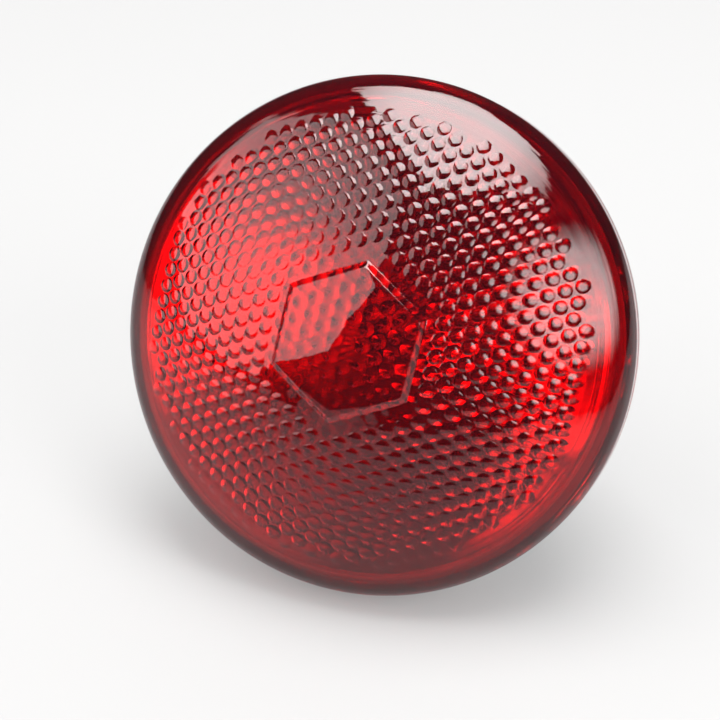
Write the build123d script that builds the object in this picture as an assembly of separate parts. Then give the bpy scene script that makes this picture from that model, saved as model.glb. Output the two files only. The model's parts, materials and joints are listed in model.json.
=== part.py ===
from build123d import *
import math
import os

# A sealed infrared heat lamp: a pressed red glass lens fused to a silvered parabolic glass bowl, on a skirted
# screw cap. Every piece is drawn in the lamp's own frame, with the axis along Z and the tip of the centre
# contact at z = 0. The finished lamp is then laid down on its rim and its screw shell, as it lies on a bench,
# with the lens tilted up towards -Y. Lengths are in millimetres and angles in degrees.

# Whole lamp
rim_diameter = 121.0
overall_length = 136.0

# Red lens
dome_radius = 98.0
lens_wall = 3.6
lens_edge = 2.6
shoulder_radius = 8.0
inner_shoulder_radius = 4.0
seal_width = 5.0
boss_across_corners = 35.5
boss_height = 1.2
boss_side_slope = 35.0
boss_turn = 23.6

# Glass bowl
flange_edge = 3.9
bowl_wall_at_rim = 3.4
floor_wall = 3.5
floor_margin = 1.4
floor_behind_skirt_mouth = 1.0
neck_wall = 3.5
neck_above_shoulder = 4.0
flange_round = 1.0

# Silver film inside the bowl
film_thickness = 0.15
film_clearance = 0.05
film_ring_gap = 0.8

# Seals through the bowl's floor
ferrule_from_neck = 1.5
ferrule_diameter = 5.2
ferrule_wall = 0.4
ferrule_lip_width = 0.9
ferrule_lip_height = 0.6
ferrule_stand = 0.6
ferrule_depth = 2.0
exhaust_diameter = 6.0
exhaust_bore = 3.0
exhaust_length = 8.0
glass_clearance = 0.05

# Filament and what carries it
post_diameter = 1.6
clamp_wall = 0.5
clamp_height = 2.6
coil_diameter = 1.2
bridge_diameter = 2.4
bridge_drop_share = 0.5333
hook_diameter = 0.5
hook_angles = (45.0, 90.0, 135.0)

# Screw cap, a 27 mm Edison thread with a 39 mm skirt
cap_length = 51.0
skirt_diameter = 39.0
skirt_wall = 0.5
skirt_bead = 0.5
skirt_shoulder_height = 6.0
collar_height = 1.6
thread_diameter = 26.3
thread_pitch = 3.629
thread_ridge_radius = 1.1
thread_depth = 1.0
thread_turns = 3.6
shell_wall = 0.3
shell_low = 7.0
shell_high = 27.5
first_ridge_above_shell = 1.6
underside_turn_share = 0.75

# Cap's black glass, contact and solder
insulator_tip_diameter = 10.4
insulator_depth = 3.0
contact_diameter = 9.6
contact_thickness = 0.7
solder_diameter = 4.8
solder_height = 0.9

# Wires inside the cap
lead_diameter = 0.9
lead_bend_radius = 4.0
lead_straight = 7.0
lead_clearance = 0.1
side_joint_diameter = 3.2
side_joint_stand = 0.7

# Cement between the bowl's neck and the skirt
cement_thickness = 0.95
cement_clearance = 0.05

rim_radius = rim_diameter / 2
seal_inner_radius = rim_radius - seal_width
shell_radius = thread_diameter / 2 - thread_depth
ridge_centre_radius = thread_diameter / 2 - thread_ridge_radius
lead_radius = lead_diameter / 2
sleeve_radius = skirt_diameter / 2 - skirt_bead
neck_radius = sleeve_radius - skirt_wall - cement_thickness - cement_clearance
neck_bore_radius = neck_radius - neck_wall
ferrule_radius = ferrule_diameter / 2
ferrule_lip_radius = ferrule_radius + ferrule_lip_width
post_offset = neck_bore_radius - ferrule_from_neck - ferrule_lip_radius
floor_radius = post_offset + ferrule_radius + floor_margin

# Heights along the axis: the dome's centre first, then the rim, the seam and the flange below it
apex = overall_length - boss_height
dome_centre = apex - dome_radius
shoulder_reach = dome_radius - shoulder_radius
shoulder_angle = math.degrees(math.asin((rim_radius - shoulder_radius) / shoulder_reach))
rim_front = dome_centre + shoulder_reach * math.cos(math.radians(shoulder_angle))
seam = rim_front - lens_edge
flange_back = seam - flange_edge
shoulder_top = shell_high + skirt_shoulder_height
neck_bottom = shoulder_top + neck_above_shoulder

# The bowl's mirror is a parabola from the edge of its flat floor to the seal, and its back is another one
floor_front = cap_length - floor_behind_skirt_mouth
floor_back = floor_front - floor_wall
four_focal = (seal_inner_radius**2 - floor_radius**2) / (seam - floor_front)
vertex = floor_front - floor_radius**2 / four_focal
focus = vertex + four_focal / 4
inner_radius_at_flange = math.sqrt(four_focal * (flange_back - vertex))
flange_root_radius = inner_radius_at_flange + bowl_wall_at_rim

# Lying down, the lamp touches the bench with the rounded back corner of its flange and with the screw ridge
# where that first passes the underside, so it tilts by the angle of the line that touches both rounds
ridge_start = shell_low + first_ridge_above_shell
ridge_underside = ridge_start + underside_turn_share * thread_pitch
rise = rim_radius - flange_round - ridge_centre_radius
run = flange_back + flange_round - ridge_underside
rounds_differ = math.asin((flange_round - thread_ridge_radius) / math.hypot(rise, run))
rest_tilt = math.degrees(math.atan2(rise, run) + rounds_differ)


def turned(*edges):
    """A solid of revolution about the lamp's axis, from a closed outline of radius against height."""
    return revolve(Plane.XZ * make_face(Curve() + list(edges)), Axis.Z)


def turned_polygon(*points):
    """A solid of revolution whose outline has straight sides."""
    return turned(Polyline(*points, close=True))


def parabola(radius_a, height_a, radius_b, height_b):
    """An exact arc of a parabola centred on the axis, as a quadratic curve from one radius to another."""
    slope_share = (height_b - height_a) / (radius_b**2 - radius_a**2)
    middle_height = height_a - slope_share * radius_a**2 + slope_share * radius_a * radius_b
    return Bezier((radius_a, height_a), ((radius_a + radius_b) / 2, middle_height), (radius_b, height_b))


def rod(start, end, diameter):
    """A straight round wire between two points."""
    path = Line(start, end)
    return sweep(Plane(path @ 0, z_dir=path % 0) * Circle(diameter / 2), path)


def front_lens():
    inner_dome = dome_radius - lens_wall
    inner_reach = inner_dome - inner_shoulder_radius
    inner_angle = math.degrees(math.asin((seal_inner_radius - inner_shoulder_radius) / inner_reach))
    inner_turn = dome_centre + inner_reach * math.cos(math.radians(inner_angle))
    centre = (0, dome_centre)
    outer_dome = CenterArc(centre, dome_radius, 90 - shoulder_angle, shoulder_angle)
    shoulder_centre = (rim_radius - shoulder_radius, rim_front)
    outer_shoulder = CenterArc(shoulder_centre, shoulder_radius, 0, 90 - shoulder_angle)
    inner_dome_arc = CenterArc(centre, inner_dome, 90 - inner_angle, inner_angle)
    inner_shoulder = CenterArc(
        (seal_inner_radius - inner_shoulder_radius, inner_turn), inner_shoulder_radius, 0, 90 - inner_angle
    )
    glass = turned(
        inner_dome_arc,
        inner_shoulder,
        Line((seal_inner_radius, inner_turn), (seal_inner_radius, seam)),
        Line((seal_inner_radius, seam), (rim_radius, seam)),
        Line((rim_radius, seam), (rim_radius, rim_front)),
        outer_shoulder,
        outer_dome,
        Line((0, apex), (0, apex - lens_wall)),
    )
    return glass + hexagon_boss()


def hexagon_boss():
    """The raised hexagon at the middle of the lens, with sloping sides and a top that follows the dome."""
    corner_radius = boss_across_corners / 2
    corner_drop = dome_radius - math.sqrt(dome_radius**2 - corner_radius**2)
    root = (apex + apex - corner_drop - lens_wall) / 2
    root_growth = (apex - corner_drop - root) * math.tan(math.radians(boss_side_slope))
    outline = Pos(0, 0, root) * Rot(0, 0, boss_turn) * RegularPolygon(corner_radius + root_growth, 6)
    block = extrude(outline, overall_length + boss_height - root, taper=boss_side_slope)
    return block & Pos(0, 0, dome_centre) * Sphere(dome_radius + boss_height)


def bowl_glass():
    """The bowl's wall, flange and neck, before its floor is pierced."""
    return turned(
        Line((0, floor_front), (floor_radius, floor_front)),
        parabola(floor_radius, floor_front, seal_inner_radius, seam),
        Line((seal_inner_radius, seam), (rim_radius, seam)),
        Line((rim_radius, seam), (rim_radius, flange_back + flange_round)),
        CenterArc((rim_radius - flange_round, flange_back + flange_round), flange_round, 270, 90),
        Line((rim_radius - flange_round, flange_back), (flange_root_radius, flange_back)),
        parabola(neck_radius, cap_length, flange_root_radius, flange_back),
        Line((neck_radius, cap_length), (neck_radius, neck_bottom)),
        Line((neck_radius, neck_bottom), (neck_bore_radius, neck_bottom)),
        Line((neck_bore_radius, neck_bottom), (neck_bore_radius, floor_back)),
        Line((neck_bore_radius, floor_back), (0, floor_back)),
        Line((0, floor_back), (0, floor_front)),
    )


def reflector_bowl():
    glass = bowl_glass()
    bore = ferrule_radius + glass_clearance
    for side in (-1, 1):
        glass -= Pos(side * post_offset, 0, floor_back + floor_wall / 2) * Cylinder(bore, floor_wall * 2)
    return glass - Pos(0, 0, floor_back + floor_wall / 2) * Cylinder(exhaust_bore / 2, floor_wall * 2)


def mirror_film():
    """The silvering, a thin skin on the inside of the bowl that stays clear of the seals."""
    outer = film_clearance
    inner = film_clearance + film_thickness
    top = seam - film_clearance
    skin = turned(
        Line((0, floor_front + outer), (floor_radius - outer, floor_front + outer)),
        parabola(floor_radius - outer, floor_front + outer, seal_inner_radius - outer, top),
        Line((seal_inner_radius - outer, top), (seal_inner_radius - inner, top)),
        parabola(floor_radius - inner, floor_front + inner, seal_inner_radius - inner, top),
        Line((floor_radius - inner, floor_front + inner), (0, floor_front + inner)),
        Line((0, floor_front + inner), (0, floor_front + outer)),
    )
    clear_radius = ferrule_radius + film_ring_gap
    for side in (-1, 1):
        skin -= Pos(side * post_offset, 0, floor_front) * Cylinder(clear_radius, floor_wall)
    return skin - Pos(0, 0, floor_front) * Cylinder(exhaust_bore / 2, floor_wall)


def lead_ferrule(side):
    """A thimble sealed through the floor, closed towards the filament and open towards the cap."""
    outer = ferrule_radius
    lip = ferrule_lip_radius
    top = floor_front + ferrule_stand
    bottom = floor_back - ferrule_depth
    cup = turned_polygon(
        (0, top),
        (outer, top),
        (outer, bottom + ferrule_lip_height),
        (lip, bottom + ferrule_lip_height),
        (lip, bottom),
        (outer - ferrule_wall, bottom),
        (outer - ferrule_wall, top - ferrule_wall),
        (0, top - ferrule_wall),
    )
    return Pos(side * post_offset, 0, 0) * cup


def exhaust_tip():
    """The glass tube that the lamp was filled through, melted shut behind the floor."""
    outer = exhaust_diameter / 2
    inner = exhaust_bore / 2
    turn = floor_back - exhaust_length + outer
    return turned(
        Line((inner, floor_back), (outer, floor_back)),
        Line((outer, floor_back), (outer, turn)),
        CenterArc((0, turn), outer, 270, 90),
        Line((0, turn - outer), (0, turn - inner)),
        CenterArc((0, turn), inner, 270, 90),
        Line((inner, turn), (inner, floor_back)),
    )


def lead_post(side):
    bottom = floor_front + ferrule_stand
    top = focus + clamp_height / 2
    return Pos(side * post_offset, 0, (bottom + top) / 2) * Cylinder(post_diameter / 2, top - bottom)


def filament_clamp(side):
    """A sleeve crimped round the end of a post, with a lug that grips the end of the coil."""
    outer = post_diameter / 2 + clamp_wall
    sleeve = Pos(side * post_offset, 0, focus) * Cylinder(outer, clamp_height)
    lug_reach = outer + coil_diameter / 2
    lug = Pos(side * post_offset, lug_reach / 2, focus) * Box(coil_diameter, lug_reach, clamp_height)
    post_hole = Pos(side * post_offset, 0, focus) * Cylinder(post_diameter / 2, clamp_height)
    return sleeve + lug - post_hole


def filament():
    """The outside of the tungsten coil, half a ring round the focus from one clamp to the other."""
    lug_end = post_diameter / 2 + clamp_wall
    end_angle = math.degrees(math.asin(lug_end / post_offset))
    path = Pos(0, 0, focus) * CenterArc((0, 0), post_offset, end_angle, 180 - 2 * end_angle)
    coil = sweep(Plane(path @ 0, z_dir=path % 0) * Circle(coil_diameter / 2), path)
    return coil - filament_clamp(-1) - filament_clamp(1)


def bridge_height():
    """Part of the way down from the filament to the bowl's floor."""
    return focus - bridge_drop_share * (focus - floor_front)


def support_bridge():
    """The glass rod between the two posts that the hooks stand on."""
    length = 2 * post_offset - post_diameter
    rod_between = Pos(0, 0, bridge_height()) * Rot(0, 90, 0) * Cylinder(bridge_diameter / 2, length)
    posts = lead_post(-1) + lead_post(1)
    return rod_between - posts


def filament_hook(angle):
    """A fine molybdenum wire from the bridge up to the coil."""
    across = post_offset * math.cos(math.radians(angle))
    out = post_offset * math.sin(math.radians(angle))
    wire = rod((across, 0, bridge_height()), (across, out, focus), hook_diameter)
    return wire - support_bridge() - filament()


def skirt():
    """The spun aluminium skirt: a collar on the screw shell, a shoulder, a sleeve and a bead at its mouth."""
    sleeve = sleeve_radius
    collar = shell_radius + glass_clearance
    bead_low = cap_length - 2 * skirt_bead - skirt_wall
    metal = turned_polygon(
        (collar, shell_high - collar_height),
        (collar + skirt_wall, shell_high - collar_height),
        (collar + skirt_wall, shell_high),
        (sleeve, shoulder_top),
        (sleeve, bead_low),
        (sleeve + skirt_bead, bead_low + skirt_bead),
        (sleeve + skirt_bead, cap_length - skirt_bead),
        (sleeve, cap_length),
        (sleeve - skirt_wall, cap_length),
        (sleeve - skirt_wall, shoulder_top + skirt_wall),
        (collar, shell_high + skirt_wall),
    )
    start, end = side_lead_exit()
    return metal - rod(start, end, lead_diameter + 2 * lead_clearance)


def screw_shell():
    """The rolled Edison thread: a thin tube with a rounded helical ridge."""
    height = shell_high - shell_low
    tube = Pos(0, 0, shell_low + height / 2) * Cylinder(shell_radius, height)
    path = Pos(0, 0, ridge_start) * Helix(thread_pitch, thread_pitch * thread_turns, ridge_centre_radius)
    ridge = sweep(Plane(path @ 0, z_dir=path % 0) * Circle(thread_ridge_radius), path, is_frenet=True)
    bore = Pos(0, 0, shell_low + height / 2) * Cylinder(shell_radius - shell_wall, height)
    return tube + ridge - bore


def base_insulator():
    """The black glass that closes the cap and carries the centre contact."""
    tip = solder_height + contact_thickness
    seat = shell_radius - shell_wall - glass_clearance
    cone = turned_polygon(
        (lead_radius + lead_clearance, tip),
        (insulator_tip_diameter / 2, tip),
        (shell_radius - shell_wall, shell_low - glass_clearance),
        (seat, shell_low),
        (seat, shell_low + insulator_depth),
        (lead_radius + lead_clearance, shell_low + insulator_depth / 2),
    )
    return cone


def centre_contact():
    middle = Pos(0, 0, solder_height + contact_thickness / 2)
    plate = middle * Cylinder(contact_diameter / 2, contact_thickness)
    return plate - middle * Cylinder(lead_radius + lead_clearance, contact_thickness)


def contact_solder():
    """A low dome of solder over the end of the centre lead."""
    half_width = solder_diameter / 2
    ball_radius = (half_width**2 + solder_height**2) / (2 * solder_height)
    half_angle = math.degrees(math.asin(half_width / ball_radius))
    dome = turned(
        CenterArc((0, ball_radius), ball_radius, 270, half_angle),
        Line((half_width, solder_height), (0, solder_height)),
        Line((0, solder_height), (0, 0)),
    )
    return dome - centre_lead()


def lead_start():
    return floor_front + ferrule_stand - ferrule_wall


def bent_wire(*points):
    """A round wire along straight runs joined by arcs."""
    path = FilletPolyline(*points, radius=lead_bend_radius)
    return sweep(Plane(path @ 0, z_dir=path % 0) * Circle(lead_radius), path)


def centre_lead():
    """The wire from one ferrule down the middle of the cap to the centre contact."""
    turn = lead_start() - exhaust_length - lead_straight
    return bent_wire(
        (post_offset, 0, lead_start()),
        (post_offset, 0, turn),
        (0, 0, turn - post_offset),
        (0, 0, solder_height / 2),
    )


def side_lead_exit():
    """Where the side lead goes through the skirt's shoulder: a point inside it and one just outside."""
    slope = math.atan2(skirt_shoulder_height, sleeve_radius - shell_radius)
    middle_radius = (sleeve_radius + shell_radius + skirt_wall) / 2
    middle_height = shell_high + skirt_shoulder_height / 2
    out = (math.sin(slope), -math.cos(slope))
    inside = lead_bend_radius
    start = (-(middle_radius - inside * out[0]), 0, middle_height - inside * out[1])
    end = (-(middle_radius + side_joint_stand * out[0]), 0, middle_height + side_joint_stand * out[1])
    return start, end


def side_lead():
    """The wire from the other ferrule out through the skirt's shoulder."""
    start, end = side_lead_exit()
    steepness = (end[2] - start[2]) / (end[0] - start[0])
    turn = start[2] - (start[0] + post_offset) * steepness
    return bent_wire((-post_offset, 0, lead_start()), (-post_offset, 0, turn), end)


def side_joint():
    """The bead of solder that holds the side lead on the outside of the skirt."""
    start, end = side_lead_exit()
    ball = Pos(*end) * Sphere(side_joint_diameter / 2)
    outside = ball - skirt() - side_lead()
    return outside.solids().sort_by(Axis.Z)[0]


def basing_cement():
    """The ring of cement that fills the gap between the bowl's neck and the skirt."""
    inner = neck_radius + cement_clearance
    outer = inner + cement_thickness - cement_clearance
    top = cap_length - skirt_bead - skirt_wall
    return turned_polygon((inner, top), (outer, top), (outer, neck_bottom), (inner, neck_bottom))


pieces = {
    "front_lens": front_lens(),
    "reflector_bowl": reflector_bowl(),
    "mirror_film": mirror_film(),
    "exhaust_tip": exhaust_tip(),
    "filament": filament(),
    "support_bridge": support_bridge(),
    "skirt": skirt(),
    "screw_shell": screw_shell(),
    "base_insulator": base_insulator(),
    "centre_contact": centre_contact(),
    "contact_solder": contact_solder(),
    "centre_lead": centre_lead(),
    "side_lead": side_lead(),
    "side_joint": side_joint(),
    "basing_cement": basing_cement(),
}
for name, side in (("left", -1), ("right", 1)):
    pieces[f"lead_ferrule_{name}"] = lead_ferrule(side)
    pieces[f"lead_post_{name}"] = lead_post(side)
    pieces[f"filament_clamp_{name}"] = filament_clamp(side)
for number, angle in enumerate(hook_angles, start=1):
    pieces[f"filament_hook_{number}"] = filament_hook(angle)

# Lay the lamp down, and set the origin under the middle of it on the bench
lying = {name: Rot(90 - rest_tilt, 0, 0) * piece for name, piece in pieces.items()}
box = Compound(children=[copied for piece in lying.values() for copied in piece.solids()]).bounding_box()
to_origin = Pos(-(box.min.X + box.max.X) / 2, -(box.min.Y + box.max.Y) / 2, -box.min.Z)

os.makedirs("parts", exist_ok=True)
for name, piece in lying.items():
    export_step(to_origin * piece, f"parts/{name}.step")
print("rest tilt", round(rest_tilt, 3), "length", round(box.size.Y, 2), "height", round(box.size.Z, 2))
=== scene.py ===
import json
import math

import bmesh
import bpy
from mathutils import Matrix, Vector


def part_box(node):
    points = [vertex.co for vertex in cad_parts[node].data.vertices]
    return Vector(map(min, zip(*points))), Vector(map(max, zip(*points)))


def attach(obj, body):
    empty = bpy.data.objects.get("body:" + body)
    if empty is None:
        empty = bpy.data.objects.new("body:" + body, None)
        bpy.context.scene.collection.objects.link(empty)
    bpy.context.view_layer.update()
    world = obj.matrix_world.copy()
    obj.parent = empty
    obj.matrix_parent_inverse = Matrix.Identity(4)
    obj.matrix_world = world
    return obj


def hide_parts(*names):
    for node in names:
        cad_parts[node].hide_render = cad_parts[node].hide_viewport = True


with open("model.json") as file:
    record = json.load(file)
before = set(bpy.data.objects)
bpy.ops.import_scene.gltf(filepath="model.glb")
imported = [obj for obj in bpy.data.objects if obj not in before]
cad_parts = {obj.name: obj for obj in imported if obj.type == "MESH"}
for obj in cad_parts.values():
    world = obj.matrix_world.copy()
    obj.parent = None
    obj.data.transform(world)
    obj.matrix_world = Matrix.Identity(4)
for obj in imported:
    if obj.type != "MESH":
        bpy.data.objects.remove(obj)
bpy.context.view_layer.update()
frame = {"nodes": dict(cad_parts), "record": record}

# A sealed infrared heat lamp: a ruby glass lens with a relief of small round bumps, fused to a silvered glass
# bowl on a skirted screw cap. Its pieces are drawn upright in the lamp's own frame, in millimetres, with the
# axis along Z and the tip of the contact's solder at z = 0. Each finished mesh is then laid down where the
# frame has the lamp.

MM = 0.001

# Rim and lens
RIM_RADIUS = 60.49
RIM_FRONT = 109.904
SEAM = 107.304
DOME_CENTRE = 36.8
DOME_RADIUS = 98.0
INNER_DOME_RADIUS = 94.4
SHOULDER_RADIUS = 8.0
INNER_SHOULDER_RADIUS = 4.0
SEAL_RADIUS = 55.5
SEAM_ROUND = 0.45
SEAM_SINK = 0.02

# Relief on the lens: low round bumps on a lattice whose rows run along the hexagon's sides. Those outside are
# nearly flat with a small steep foot. Those inside are fuller, nearly touch, and go on behind the hexagon.
BUMP_PITCH = 3.72
OUTER_BUMPS = {
    "radius": 1.55, "edge_slope": 13.0, "foot": (0.08, 0.03), "sides": 18, "field": 52.9, "edge": 54.4,
}
INNER_BUMPS = {
    "radius": 1.74, "edge_slope": 30.0, "foot": (0.10, 0.00), "sides": 12, "field": 51.6, "edge": 52.9,
}
BUMP_CROWN_SHARE = 0.5
FIELD_EDGE_STEPS = 252

# Raised hexagon in the middle of the lens
BOSS_TURN = 23.6
BOSS_APOTHEM = 14.7
BOSS_HEIGHT = 0.95
BOSS_SIDE_WIDTH = 1.5
BOSS_CORNER_ROUND = 0.9
# The hexagon's side from its hollow foot to its rounded edge, in shares of its width and of its height
BOSS_SIDE_PROFILE = (
    (0.06, 0.01), (0.14, 0.07), (0.40, 0.38), (0.66, 0.70), (0.84, 0.91), (0.93, 0.98), (1.05, 1.0),
)
BOSS_TOP_RINGS = (0.85, 0.65, 0.45, 0.25, 0.1)

# Bowl
FLANGE_BACK = 103.404
FLANGE_ROUND = 1.0
FLANGE_ROOT_RADIUS = 57.13
BOWL_FOOT_Z = 51.0
FLOOR_FRONT = 50.0
FLOOR_BACK = 46.5
FLOOR_RADIUS = 13.0
NECK_RADIUS = 17.5
NECK_BORE_RADIUS = 14.0
NECK_BOTTOM = 37.5
NECK_ROUND = 1.0
FILM_GAP = 0.05
FILM_THICKNESS = 0.15
POST_OFFSET = 9.0
FERRULE_RADIUS = 2.6
FILM_RING_GAP = 0.8
EXHAUST_BORE_RADIUS = 1.5
STAIN_DEPTH = 6.0

# Filament
FOCUS = 59.375
CLAMP_RADIUS = 1.3
COIL_RADIUS = 0.6
COIL_WIRE_RADIUS = 0.13
COIL_TURNS = 44

# Cap
SHELL_LOW = 7.0
SHELL_HIGH = 27.5
SHELL_RADIUS = 12.15
SHELL_WALL = 0.3
THREAD_DEPTH = 1.0
THREAD_PITCH = 3.629
THREAD_START = 8.6
THREAD_TURNS = 3.6
COLLAR_RADIUS = 12.7
COLLAR_HEIGHT = 1.6
SKIRT_SHOULDER_TOP = 33.5
SLEEVE_RADIUS = 19.0
SKIRT_WALL = 0.5
SKIRT_BEND = 1.6
SKIRT_BEAD = 0.5
SKIRT_BEAD_SINK = 0.4
SKIRT_LIP = 0.3
SKIRT_MOUTH = 51.0
CONTACT_SEAT = 1.6
CONTACT_RADIUS = 4.8
CONTACT_THICKNESS = 0.7
CONTACT_EDGE_ROUND = 0.22
LEAD_HOLE_RADIUS = 0.55
SOLDER_RADIUS = 2.4
SOLDER_HEIGHT = 0.9
INSULATOR_TIP_RADIUS = 5.2
INSULATOR_TOP = 10.0
INSULATOR_TIP_ROUND = 0.6
INSULATOR_SEAT_ROUND = 0.7
SIDE_JOINT_RADIUS = 1.6

SPIN_STEPS = 160
SKIRT_SPIN_STEPS = 120
CAP_SPIN_STEPS = 96
CONTACT_SPIN_STEPS = 72
SOLDER_SPIN_STEPS = 48
WELD = 0.004

# The lamp's frame, from the mount at the middle of its rim: the mount's axis points at the cap
rim_mount = next(m for m in frame["record"]["mounts"] if m["name"] == "rim_edge")
LENS_WAY = -Vector(rim_mount["axis"])
LAMP_UP = LENS_WAY.cross(Vector((1, 0, 0)))
RIM_MIDDLE = RIM_FRONT - rim_mount["dims"]["length_mm"] / 2
LAMP_ORIGIN = Vector(rim_mount["pos_m"]) - LENS_WAY * RIM_MIDDLE * MM
LAMP_TURN = Matrix((Vector((1, 0, 0)), LAMP_UP, LENS_WAY)).transposed()
LAMP_TO_ROW = Matrix.Translation(LAMP_ORIGIN) @ LAMP_TURN.to_4x4() @ Matrix.Scale(MM, 4)
LAMP_TILT = LAMP_TURN.to_euler()


# ---------------------------------------------------------------- finishes

class Wire:
    """A value in a material's nodes. Python's arithmetic on it adds Math nodes."""

    def __init__(self, finish, socket):
        self.finish = finish
        self.socket = socket

    def maths(self, operation, first, second=0.0):
        return self.finish.node("ShaderNodeMath", {"operation": operation}, {0: first, 1: second})

    def __add__(self, other):
        return self.maths("ADD", self, other)

    def __radd__(self, other):
        return self.maths("ADD", other, self)

    def __sub__(self, other):
        return self.maths("SUBTRACT", self, other)

    def __rsub__(self, other):
        return self.maths("SUBTRACT", other, self)

    def __mul__(self, other):
        return self.maths("MULTIPLY", self, other)

    def __rmul__(self, other):
        return self.maths("MULTIPLY", other, self)

    def __truediv__(self, other):
        return self.maths("DIVIDE", self, other)

    def __pow__(self, other):
        return self.maths("POWER", self, other)

    def root(self):
        return self.maths("SQRT", self)

    def at_least(self, other):
        return self.maths("MAXIMUM", self, other)

    def between(self, low, high):
        """0 below low and 1 above high, with a smooth rise."""
        settings = {"interpolation_type": "SMOOTHSTEP"}
        sockets = {"Value": self, "From Min": low, "From Max": high}
        return self.finish.node("ShaderNodeMapRange", settings, sockets)


class Finish:
    """A material and its nodes."""

    def __init__(self, name):
        self.material = bpy.data.materials.new(name)
        self.material.use_nodes = True
        self.nodes = self.material.node_tree.nodes
        self.nodes.clear()
        self.output = self.nodes.new("ShaderNodeOutputMaterial")

    def node(self, kind, settings=None, sockets=None, output=0):
        """Adds a node: its settings are set first, then its sockets get values or links."""
        made = self.nodes.new(kind)
        for key, value in (settings or {}).items():
            setattr(made, key, value)
        for key, value in (sockets or {}).items():
            if isinstance(value, Wire):
                self.material.node_tree.links.new(value.socket, made.inputs[key])
            else:
                made.inputs[key].default_value = value
        return Wire(self, made.outputs[output])

    def lamp_place(self):
        """Where a point is in the lamp's own frame, in metres."""
        place = self.node("ShaderNodeTexCoord", output="Object")
        sockets = {"Vector": place, "Location": LAMP_ORIGIN, "Rotation": LAMP_TILT}
        return self.node("ShaderNodeMapping", {"vector_type": "TEXTURE"}, sockets)

    def axes(self, place):
        return [self.node("ShaderNodeSeparateXYZ", sockets={0: place}, output=n) for n in range(3)]

    def radius(self, place):
        x, y, z = self.axes(place)
        return (x * x + y * y).root()

    def noise(self, place, size, detail=2.0, roughness=0.5, stretch=(1.0, 1.0, 1.0)):
        """Noise whose features are about size across, drawn out along an axis where stretch is above 1."""
        scale = tuple(1.0 / s for s in stretch)
        place = self.node("ShaderNodeMapping", sockets={"Vector": place, "Scale": scale})
        sockets = {"Vector": place, "Scale": 1.0 / size, "Detail": detail, "Roughness": roughness}
        return self.node("ShaderNodeTexNoise", sockets=sockets)

    def mix(self, share, first, second):
        """A colour between two, by share."""
        sockets = {0: share, 6: first, 7: second}
        return self.node("ShaderNodeMix", {"data_type": "RGBA"}, sockets, output=2)

    def bump(self, height, depth, under=None):
        """A normal for a height whose unit is a depth in metres, over another normal if one is given."""
        sockets = {"Height": height, "Distance": depth, "Strength": 1.0}
        if under is not None:
            sockets["Normal"] = under
        return self.node("ShaderNodeBump", sockets=sockets)

    def surface(self, **sockets):
        """The Principled surface. Its sockets' names are written with _ for a space."""
        named = {key.replace("_", " "): value for key, value in sockets.items()}
        shader = self.node("ShaderNodeBsdfPrincipled", sockets=named)
        self.material.node_tree.links.new(shader.socket, self.output.inputs["Surface"])
        return self.material

    def absorb(self, colour, density):
        """Tints glass by its depth: what a metre of it takes is 1 less the colour, times the density."""
        sockets = {"Color": (*colour, 1.0), "Density": density}
        volume = self.node("ShaderNodeVolumeAbsorption", sockets=sockets)
        self.material.node_tree.links.new(volume.socket, self.output.inputs["Volume"])


def ruby_glass():
    """Pressed ruby glass: clear and glossy, with a mould's faint ripple, and rings drawn round the rim, deep
    on the inside and faint outside."""
    f = Finish("ruby_glass")
    place = f.lamp_place()
    ripple = f.noise(place, 0.006, detail=1.0)
    radius, height = f.radius(place), f.axes(place)[2]
    profile = f.node("ShaderNodeCombineXYZ", sockets={0: radius, 1: height, 2: f.noise(place, 0.05) * 0.004})
    from_centre = (radius * radius + (height - DOME_CENTRE * MM) ** 2.0).root()
    inside = 1.0 - from_centre.between(0.0950, 0.0965)
    past_bumps = radius.between(0.0500, 0.0525)
    streaks = f.noise(profile, 0.0016, detail=3.0) * past_bumps * (inside + 0.12)
    colour = f.mix(f.noise(place, 0.03), (0.92, 0.05, 0.12, 1.0), (0.86, 0.03, 0.09, 1.0))
    f.absorb((0.90, 0.0, 0.24), 900.0)
    return f.surface(
        Base_Color=colour,
        Roughness=0.01,
        IOR=1.49,
        Transmission_Weight=0.985,
        Normal=f.bump(streaks, 0.0003, f.bump(ripple, 0.00003)),
    )


def clear_glass():
    """Pressed clear glass, stained red behind the seam for a few millimetres, where ruby glass has run in."""
    f = Finish("clear_glass")
    place = f.lamp_place()
    height = f.axes(place)[2] / MM
    wander = f.noise(place, 0.01) * 2.0
    stain = (height + wander).between(FLANGE_BACK - STAIN_DEPTH, SEAM - 1.0)
    colour = f.mix(stain, (0.96, 0.975, 0.97, 1.0), (0.72, 0.12, 0.13, 1.0))
    ripple = f.noise(place, 0.007, detail=1.0)
    return f.surface(
        Base_Color=colour,
        Roughness=0.02,
        IOR=1.47,
        Transmission_Weight=0.985,
        Normal=f.bump(ripple, 0.00004),
    )


def silvering():
    """Evaporated aluminium: a near-perfect mirror with a faint haze and the ripple of the glass under it."""
    f = Finish("silvering")
    place = f.lamp_place()
    haze = f.noise(place, 0.012, detail=5.0)
    return f.surface(
        Base_Color=f.mix(haze, (0.93, 0.93, 0.94, 1.0), (0.86, 0.86, 0.87, 1.0)),
        Metallic=1.0,
        Roughness=0.05 + haze * 0.08,
        Normal=f.bump(f.noise(place, 0.01, detail=1.0), 0.00006),
    )


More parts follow.
